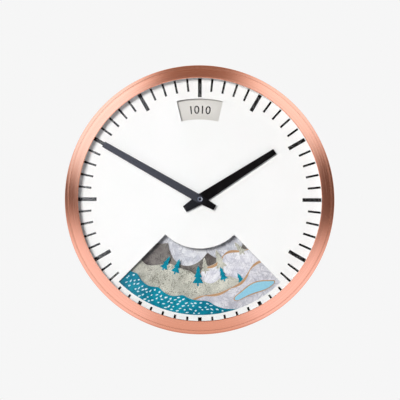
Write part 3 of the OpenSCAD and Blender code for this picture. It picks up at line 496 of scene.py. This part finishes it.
outline = [(opening_r, seat)]
outline += arc((opening_r + lip, depth - lip), lip, 180, 90, steps=8)
outline += arc(band_c, band_r, 90 - band_tilt, 90 - end_tilt, steps=16)
outline += arc(shoulder_c, shoulder_r, 90 - end_tilt, 90 - shoulder_tilt, steps=8)
outline += arc(crown_c, crown_r, 90 - start_tilt, 90 - crown_tilt, steps=12)
outline += arc(edge_c, edge_r, 90 - crown_tilt, edge_last, steps=14)
outline += [(skirt_r, skirt_top), (skirt_r, -skirt_back), (skirt_in, -skirt_back)]
outline += [under_bead, under_step, under_band]
rim = piece("bezel_rim", *lathe([(r, -d) for r, d in outline]), FINISHES["copper"], "case", "copper")
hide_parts("bezel")


# Hand nut: a ring with a rounded top, and a dark cap over the end of the arbor

nut_in, nut_out = radii("hand_nut")
nut_front, nut_back = front("hand_nut"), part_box("hand_nut")[1].y
nut_round = (nut_out - nut_in) / 2
nut_top = arc((nut_in + nut_round, -nut_front - nut_round), nut_round, 180, 0, steps=16)
nut_outline = [(nut_in, nut_back)] + [(r, -d) for r, d in nut_top] + [(nut_out, nut_back)]
nut = piece("hand_nut_ring", *lathe(nut_outline, segments=64), nut_black, "minute", "black_paint")
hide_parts("hand_nut")

near_axis = 0.01 * MM
cap_r = nut_in - 0.02 * MM
cap_front = min(front("minute_arbor"), nut_front) - 0.1 * MM
cap_back = nut_front + 0.3 * MM
cap_side = cap_front + 0.12 * MM
cap_bend = (0.75 * cap_r, cap_front + 0.03 * MM)
cap_outline = [(near_axis, cap_back), (cap_r, cap_back), (cap_r, cap_side), cap_bend, (near_axis, cap_front)]
piece("arbor_cap", *lathe(cap_outline, segments=48), FINISHES["black_paint"], "minute", "black_paint")


# Picture details, on the cards that turn with the disc

strip_t = 0.3 * MM
strip_drop = 0.25 * MM
fir_t = 0.6 * MM
glue = 0.02 * MM


def at_psi(r, psi):
    """The x and z of a point at an angle from 6 o'clock, positive towards 9."""
    return (-r * math.sin(psi), -r * math.cos(psi))


def crest_of(node):
    """The upper edge of a picture card, as a function from the angle psi to a radius."""
    face_depth = 0.05 * MM
    foot_margin = 1.5 * MM
    cut = points(node)
    cut = cut[cut[:, 1] < front(node) + face_depth]
    psi = np.arctan2(-cut[:, 0], -cut[:, 2])
    r = np.hypot(cut[:, 0], cut[:, 2])
    upper = r < picture_r - foot_margin
    order = np.argsort(psi[upper])
    return lambda a: float(np.interp(a, psi[upper][order], r[upper][order]))


def slab(outline_points, top, bottom):
    """Vertices and faces of a flat sheet with this outline, between two depths."""
    count = len(outline_points)
    verts = [(x, top, z) for x, z in outline_points] + [(x, bottom, z) for x, z in outline_points]
    faces = [tuple(range(count)), tuple(range(2 * count - 1, count - 1, -1))]
    faces += [(i, (i + 1) % count, count + (i + 1) % count, count + i) for i in range(count)]
    return verts, faces


def merged(sheets):
    """Vertices and faces of several sheets as one mesh."""
    verts, faces = [], []
    for sheet_verts, sheet_faces in sheets:
        first = len(verts)
        verts += sheet_verts
        faces += [tuple(first + i for i in face) for face in sheet_faces]
    return verts, faces


def crest_strip(name, node, width, wave, first, last):
    """A tan strip under a card's crest, whose width swells and narrows along it."""
    crest = crest_of(node)
    y = front(node)
    steps = 160
    narrowest, wave_start = 0.3, 0.6
    upper, lower = [], []
    for i in range(steps + 1):
        psi = math.radians(first + (last - first) * i / steps)
        swell = abs(math.sin(wave * psi + wave_start))
        top_r = crest(psi) + strip_drop
        upper.append(at_psi(top_r, psi))
        lower.append(at_psi(top_r + width * (narrowest + (1 - narrowest) * swell), psi))
    return piece(name, *slab(upper + lower[::-1], y - strip_t, y + glue), tan_card, "disc", "cream_card")


crest_strip("white_hill_strip", "picture_white_hills", width=3.4 * MM, wave=9.0, first=-100, last=14)
crest_strip("near_hill_strip", "picture_near_hills", width=3.0 * MM, wave=11.0, first=-72, last=4)


def fir_outline(foot_r, psi, height):
    """A fir tree pointing to the clock's axis: a short trunk under three tiers that narrow upwards."""
    tiers = 3
    trunk, trunk_half = 0.14 * height, 0.04 * height
    lowest_half, narrowing, notch = 0.27 * height, 0.24, 0.4
    tier_h = (height - trunk) / tiers
    right = [(trunk_half, 0), (trunk_half, trunk)]
    for tier in range(tiers):
        half = lowest_half * (1 - narrowing * tier)
        right += [(half, trunk + tier * tier_h), (notch * half, trunk + (tier + 1) * tier_h)]
    right[-1] = (0, height)
    left = [(-u, v) for u, v in right[-2::-1]]
    return [at_psi(foot_r - v, psi + u / foot_r) for u, v in right + left]


def firs(name, node, finish, first, last, count, tall, seed):
    """A row of fir trees along a card's crest, each a little off its place and its size."""
    draw = random.Random(seed)
    crest = crest_of(node)
    y = front(node)
    sheets = []
    for i in range(count):
        psi = math.radians(first + (last - first) * (i + draw.uniform(-0.3, 0.3)) / (count - 1))
        height = tall * draw.uniform(0.75, 1.2)
        foot_r = crest(psi) + height * draw.uniform(0.3, 0.55)
        sheets.append(slab(fir_outline(foot_r, psi, height), y - fir_t, y + glue))
    return piece(name, *merged(sheets), FINISHES[finish], "disc", finish)


firs("white_hill_firs", "picture_white_hills", "grey_paper",
     first=-96, last=96, count=14, tall=23 * MM, seed=4)
firs("grey_hill_firs", "picture_grey_hills", "teal_paper",
     first=-90, last=92, count=13, tall=21 * MM, seed=9)
firs("near_hill_firs", "picture_near_hills", "teal_paper",
     first=-101, last=-56, count=5, tall=19 * MM, seed=6)

# Small pale flecks in lanes over the sea, each a shallow dome with a pointed end
sea_crest = crest_of("picture_sea")
sea_y = front("picture_sea")
fleck_rows, fleck_lanes = 52, 5
fleck_first, fleck_sweep = math.radians(-20), math.radians(150)
first_lane_r, lane_step = picture_r - 21 * MM, 4 * MM
crest_gap, foot_gap = 2.2 * MM, 5 * MM
fleck_rise = 0.3 * MM
fleck_sides = 10
fleck_point = 0.35


def fleck(r, psi, long, wide, lean):
    """Vertices and faces of one fleck, with its long axis at an angle to the x axis."""
    cx, cz = at_psi(r, psi)
    verts = []
    for k in range(fleck_sides):
        t = 2 * math.pi * k / fleck_sides
        u = long * math.cos(t)
        v = wide * math.sin(t) * (1 - fleck_point * math.cos(t))
        verts.append((cx + u * math.cos(lean) - v * math.sin(lean), sea_y,
                      cz + u * math.sin(lean) + v * math.cos(lean)))
    verts += [(cx, sea_y - fleck_rise, cz), (cx, sea_y + glue, cz)]
    faces = []
    for k in range(fleck_sides):
        ahead = (k + 1) % fleck_sides
        faces += [(k, ahead, fleck_sides), (ahead, k, fleck_sides + 1)]
    return verts, faces


rng = random.Random(11)
flecks = []
for row in range(fleck_rows):
    for lane in range(fleck_lanes):
        along = (row + 0.5 * (lane % 2) + rng.uniform(-0.25, 0.25)) / fleck_rows
        psi = fleck_first + fleck_sweep * along
        r = first_lane_r + lane * lane_step + rng.uniform(-0.9, 0.9) * MM
        if r < sea_crest(psi) + crest_gap or r > picture_r - foot_gap:
            continue
        long = rng.uniform(1.1, 2.1) * MM
        wide = rng.uniform(0.6, 0.95) * MM
        flecks.append(fleck(r, psi, long, wide, lean=psi + rng.uniform(-0.5, 0.5)))
piece("sea_flecks", *merged(flecks), foam_fleck, "disc", "cream_card")

# A lake on the near hills at the lower right, with a tan shore under its edge
lake_y = front("picture_near_hills")
lake_r = picture_r - 14 * MM
lake_psi, lake_reach = math.radians(-31), math.radians(11.5)
lake_half, lake_swell, swell_start = 5.2 * MM, 1.3 * MM, 0.9
lake_slant, lake_bend = 3 * MM, 2.2 * MM
lake_sides = 72
shore_w = 1.3 * MM


def lake_outline(shore):
    """A long bent outline, wider all round by the shore."""
    outline_points = []
    for k in range(lake_sides):
        t = 2 * math.pi * k / lake_sides
        psi = lake_psi + (lake_reach + shore / lake_r) * math.cos(t)
        middle_r = lake_r - lake_slant * math.cos(t) + lake_bend * math.cos(2 * t)
        half = lake_half + lake_swell * math.sin(3 * t + swell_start) + shore
        outline_points.append(at_psi(middle_r + half * math.sin(t), psi))
    return outline_points


shore_y = lake_y - strip_t
shore_sheet = slab(lake_outline(shore_w), shore_y, lake_y + glue)
lake_sheet = slab(lake_outline(0), shore_y - strip_t, shore_y + glue)
piece("lake_shore", *shore_sheet, tan_card, "disc", "cream_card")
piece("hill_lake", *lake_sheet, lake_paper, "disc", "cream_card")


# Pressure numbers on the card behind the small window, spaced round the disc

number_r = sum(radii("scale_card")) / 2
number_y = front("scale_card")
number_h = 9.5 * MM
number_step = math.radians(30)
digit_share = 0.7
ink_half = 0.03 * MM
ink_lift = 0.02 * MM
stroke_gain = 0.12 * MM
pressures = ("970", "990", "1010", "1030", "1050")


def number(text, turn):
    """A number bent along the card, upright where turn is 0, which is 12 o'clock at rest."""
    curve = bpy.data.curves.new("number", "FONT")
    curve.body = text
    curve.align_x = "CENTER"
    curve.size = number_h / digit_share
    curve.extrude = ink_half
    curve.offset = stroke_gain
    curve.resolution_u = 6
    holder = bpy.data.objects.new("number", curve)
    bpy.context.scene.collection.objects.link(holder)
    mesh = bpy.data.meshes.new_from_object(holder.evaluated_get(bpy.context.evaluated_depsgraph_get()))
    bpy.data.objects.remove(holder)
    verts = []
    for v in mesh.vertices:
        angle = turn + v.co.x / number_r
        r = number_r - number_h / 2 + v.co.y
        verts.append((r * math.sin(angle), number_y - ink_lift - v.co.z, r * math.cos(angle)))
    faces = [tuple(p.vertices) for p in mesh.polygons]
    return piece(f"number_{text}", verts, faces, FINISHES["black_ink"], "disc", "black_ink")


for place_round, text in enumerate(pressures):
    number(text, (place_round - len(pressures) // 2) * number_step)


# Camera, almost straight on, framed so that the bead fills as many pixels as in the photograph

photo_half_px = 200
photo_bead_px = 135.0
aim_drop = 0.85 * MM
bead_middle = Vector((0, -edge_c[1], -aim_drop))
half_view = bead_r * photo_half_px / photo_bead_px
camera_data = bpy.data.cameras.new("camera")
camera_data.lens = 240
camera_data.sensor_width = 36
distance = half_view * 2 * camera_data.lens / camera_data.sensor_width
camera = bpy.data.objects.new("camera", camera_data)
camera_below, camera_left = math.radians(4.5), math.radians(3)
aim = Vector((-math.sin(camera_left), -1, -math.sin(camera_below))).normalized()
camera.location = bead_middle + aim * distance
camera.rotation_euler = aim.to_track_quat("Z", "Y").to_euler()
bpy.context.scene.collection.objects.link(camera)
bpy.context.scene.camera = camera


# Light: a soft key from the upper left, in a room whose panels the rim mirrors

key_turn, key_off = math.radians(-66), math.radians(23.5)
key_away = 6.0
key_lamp = bpy.data.lights.new("key", "AREA")
key_lamp.shape = "SQUARE"
key_lamp.size = 1.65
key_lamp.energy = 338
key_lamp.color = (1.0, 0.99, 0.97)
key = bpy.data.objects.new("key", key_lamp)
towards_key = Vector((math.sin(key_off) * math.sin(key_turn), -math.cos(key_off),
                      math.sin(key_off) * math.cos(key_turn)))
key.location = Vector((0, bezel_front, 0)) + towards_key * key_away
key.rotation_euler = towards_key.to_track_quat("Z", "Y").to_euler()
key.visible_glossy = False
key.visible_camera = False
bpy.context.scene.collection.objects.link(key)


# Floor, which turns into the pale background towards its edge

pale = (0.922, 0.922, 0.922)
floor_z = -0.9
floor_half = 1.6


def pale_floor(name):
    """Floor paint that gives way to the tone of the background, half of it at the floor's middle."""
    material = coated(name, (0.86, 0.86, 0.86), (0.9, 0.9, 0.9), 0.7, 60.0, 0.02 * MM)
    tree = material.node_tree
    reach = add(tree, "ShaderNodeVectorMath", {0: own_place(tree)}, operation="LENGTH").outputs["Value"]
    outer = rise(tree, reach, 0.4 * floor_half, 0.97 * floor_half, low=0.5)
    seen = times(tree, outer, add(tree, "ShaderNodeLightPath").outputs["Is Camera Ray"])
    mix_in(tree, seen, add(tree, "ShaderNodeEmission", {"Color": (*pale, 1.0)}))
    return material


corners = [(sx * floor_half, sy * floor_half, 0) for sx, sy in ((-1, -1), (1, -1), (1, 1), (-1, 1))]
floor_mesh = bpy.data.meshes.new("floor")
floor_mesh.from_pydata(corners, [], [(0, 1, 2, 3)])
floor_mesh.materials.append(pale_floor("floor_paint"))
floor = bpy.data.objects.new("floor", floor_mesh)
floor.location.z = floor_z
bpy.context.scene.collection.objects.link(floor)
floor.visible_glossy = False


# Room round the clock, which gives a light for each heading of a ray, a vector one long

world = bpy.data.worlds.new("studio")
bpy.context.scene.world = world
world.use_nodes = True
sky = world.node_tree
heading = xyz(sky, add(sky, "ShaderNodeTexCoord").outputs["Generated"])
off_axis = hypot(sky, heading["X"], heading["Z"])
ray = add(sky, "ShaderNodeLightPath").outputs
# A ray that has left through both faces of the glass comes from what lies under it
under_glass = math_node(sky, "GREATER_THAN", ray["Transparent Depth"], 1.5)


def fade(value, none, full, shape="SMOOTHSTEP"):
    """Rises from 0 to 1 as the value goes from none to full."""
    return rise(sky, value, none, full, shape=shape)


def panel(clock_angle, full, none):
    """A panel round the clock: bright within one angle of its middle, gone beyond another."""
    turn = math.radians(clock_angle)
    along = plus(sky, times(sky, heading["X"], math.sin(turn)), times(sky, heading["Z"], math.cos(turn)))
    facing = math_node(sky, "DIVIDE", along, off_axis)
    return fade(facing, math.cos(math.radians(none)), math.cos(math.radians(full)))


def tinted(factor, tint):
    """A brightness times a colour."""
    return add(sky, "ShaderNodeVectorMath", {0: tint, "Scale": factor}, operation="SCALE").outputs["Vector"]


# A pale table below, darker straight down
table_level, table_tint = 0.9, (0.97, 1.0, 1.08)
dusk = minus(sky, 1.0, times(sky, fade(heading["Z"], -0.7, -0.95), 0.32))
table = times(sky, fade(heading["Z"], -0.12, -0.42), table_level)
panels = tinted(times(sky, table, dusk), table_tint)

# Four panels in a ring, which starts further out for what lies under the glass
ring_none, ring_full, glass_shift = 0.17, 0.32, 0.15
ring_start = minus(sky, off_axis, times(sky, under_glass, glass_shift))
ring = times(sky, fade(ring_start, ring_none, ring_full), fade(heading["Y"], 0.25, -0.05))
panel_edge = (1.0, 0.96, 1.0)
# Each has a clock angle, half angles where it is full and gone, a level, and red and blue against green
for clock_angle, full, none, level, red, blue in (
        (-44, 12, 35, 2.02, 0.625, 1.33), (43, 6, 28, 1.67, 0.705, 1.27),
        (-130, 18, 46, 1.45, 0.84, 1.24), (129, 6, 39, 1.48, 0.84, 1.26)):
    lit = times(sky, panel(clock_angle, full, none), times(sky, ring, dusk))
    tint = blend(sky, lit, panel_edge, (red, 1.0, blue))
    panels = vector_math(sky, "MAXIMUM", panels, tinted(times(sky, lit, level), tint))

# A soft ring of light round the camera, caught by the step of the rim
halo_colour = (0.9, 0.87, 0.85)
halo = times(sky, fade(off_axis, 0.13, 0.21), fade(off_axis, 0.36, 0.26))
halo = times(sky, halo, minus(sky, 1.0, under_glass))
panels = vector_math(sky, "MAXIMUM", panels, tinted(halo, halo_colour))

# The glass mirrors the panels more weakly than the metal, so that the dial stays clear from the side
glass_loss = 0.7
panels = tinted(minus(sky, 1.0, times(sky, ray["Is Singular Ray"], glass_loss)), panels)

# A window beside the camera, which the glass and the minute hand mirror over the left half of the dial
window_colour = (0.6, 0.64, 0.8)
window_level, window_gain = 0.33, 0.3
sweep = bead_r / distance
opening = opening_r / distance
edge_none, edge_full = -0.045 * sweep, 0.02 * sweep
left_of_hub = minus(sky, -camera.location.x / distance, heading["X"])
above_hub = minus(sky, heading["Z"], -camera.location.z / distance)
from_hub = hypot(sky, left_of_hub, above_hub)
up_left = plus(sky, times(sky, left_of_hub, 0.85), times(sky, above_hub, 0.53))
off_top = minus(sky, left_of_hub, times(sky, above_hub, 0.25))
window = plus(sky, times(sky, fade(up_left, edge_none, edge_full), window_level),
              times(sky, fade(up_left, 0.0, sweep, "LINEAR"), window_gain))
for edge in (fade(from_hub, opening, 0.95 * opening), fade(off_top, edge_none, edge_full),
             fade(heading["Z"], -0.12, -0.04)):
    window = times(sky, window, edge)

# A lamp between the key and the camera, mirrored only by the ink and paint under the glass
lamp_left, lamp_up, lamp_r = 0.236, 0.064, 0.17
lamp_colour = (31.0, 31.0, 31.0)
from_lamp = hypot(sky, plus(sky, heading["X"], lamp_left), minus(sky, heading["Z"], lamp_up))
mirrored = times(sky, under_glass, ray["Is Glossy Ray"])
lamp = times(sky, fade(from_lamp, 1.15 * lamp_r, 0.85 * lamp_r), mirrored)

# Dim walls and a ceiling, and all of the room weaker where it only fills the shadows
wall_colour = (0.142, 0.099, 0.084)
ceiling_colour = (0.2, 0.15, 0.125)
fill_colour = (0.105, 0.076, 0.061)
front_light = tinted(fade(off_axis, 0.0, 0.5), wall_colour)
for light in (tinted(fade(heading["Z"], 0.25, 0.75), ceiling_colour), panels,
              tinted(window, window_colour), tinted(lamp, lamp_colour)):
    front_light = vector_math(sky, "ADD", front_light, light)
fill = blend(sky, ray["Is Diffuse Ray"], (1.0, 1.0, 1.0), fill_colour)
front_light = vector_math(sky, "MULTIPLY", front_light, fill)

# Pale to the camera, and behind the clock to every ray
behind = larger(sky, ray["Is Camera Ray"], fade(heading["Y"], -0.1, 0.4))
background = sky.nodes["Background"].inputs
sky.links.new(blend(sky, behind, front_light, pale), background["Color"])
background["Strength"].default_value = 1.0

bpy.context.scene.view_settings.view_transform = "Standard"
